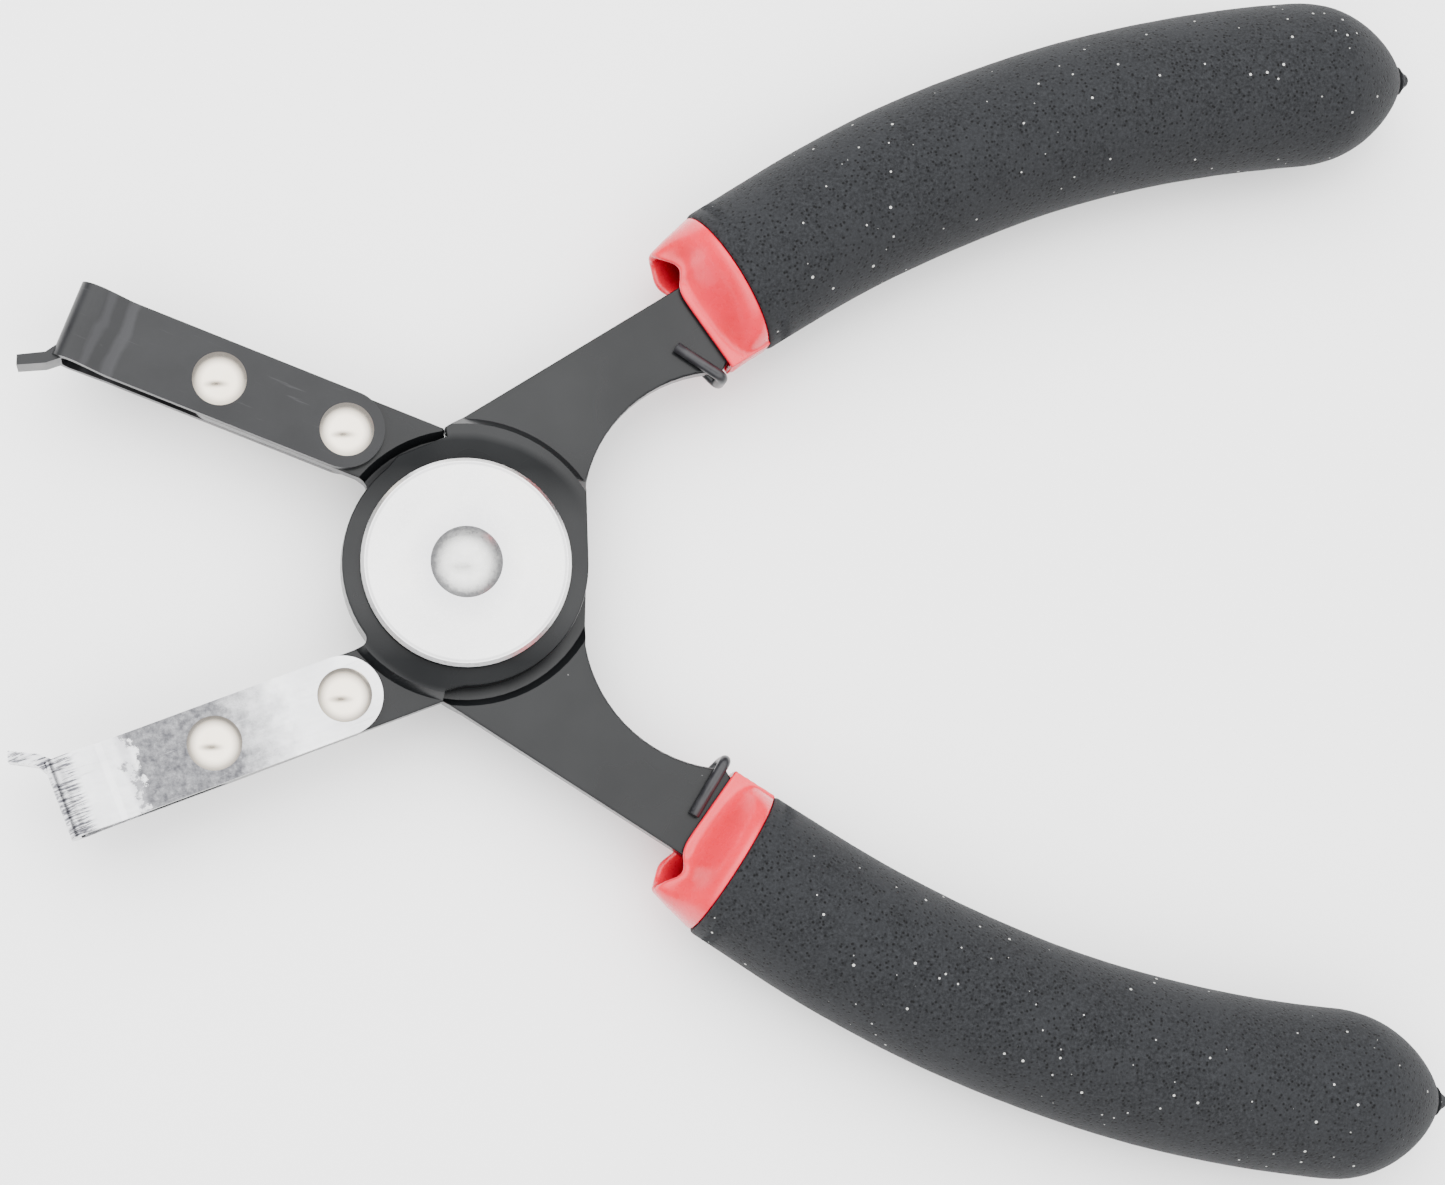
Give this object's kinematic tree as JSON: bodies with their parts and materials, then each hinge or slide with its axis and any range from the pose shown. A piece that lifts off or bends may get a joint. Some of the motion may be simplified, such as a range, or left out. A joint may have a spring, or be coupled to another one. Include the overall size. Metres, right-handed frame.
{
  "type": "hook jaw pliers",
  "caption": "Spring-opened crossed-lever pliers with folded hook jaws, a riveted hub under cover discs, and foam grips over vinyl sleeves.",
  "frame": {"origin": "on the pivot axis, in the plane that the tool lies on, at the flat closed end of the pivot rivet", "axes": "+Z along the pivot axis to the front cover disc, +X from the pivot to the handles, +Y across to the front lever's grip"},
  "size_m": [0.2082, 0.1768, 0.0234],
  "materials": {
    "lever_paint": "gloss black stove enamel",
    "jaw_black": "satin black oxide and oil",
    "jaw_plating": "bright zinc plate, mottled and scratched",
    "rivet_nickel": "polished nickel dome",
    "pivot_steel": "satin peened steel",
    "disc_nickel": "satin nickel plate",
    "spring_wire": "blackened spring wire",
    "red_vinyl": "glossy dipped vinyl",
    "grip_foam": "matte closed-cell foam with fine pores"
  },
  "bodies": {
    "front_half": {"front_lever": "lever_paint", "front_sleeve": "red_vinyl", "front_foam_grip": "grip_foam", "plated_jaw": "jaw_plating", "plated_jaw_rivet_inner": "rivet_nickel", "plated_jaw_rivet_outer": "rivet_nickel", "pivot_rivet": "pivot_steel", "front_cover_disc": "disc_nickel", "rear_cover_disc": "disc_nickel", "spring_bush": "pivot_steel", "torsion_spring": "spring_wire"},
    "rear_half": {"rear_lever": "lever_paint", "rear_sleeve": "red_vinyl", "rear_foam_grip": "grip_foam", "black_jaw": "jaw_black", "black_jaw_rivet_inner": "rivet_nickel", "black_jaw_rivet_outer": "rivet_nickel"}
  },
  "joints": [
    {"name": "pliers_pivot", "type": "hinge", "parent": "front_half", "child": "rear_half", "pos_m": [0, 0, 0.0117], "axis": [0, 0, 1], "range_deg": [0, 45], "stiffness_Nm_per_rad": 0.67, "springref_deg": -8.59, "deforming": ["torsion_spring"]}
  ]
}
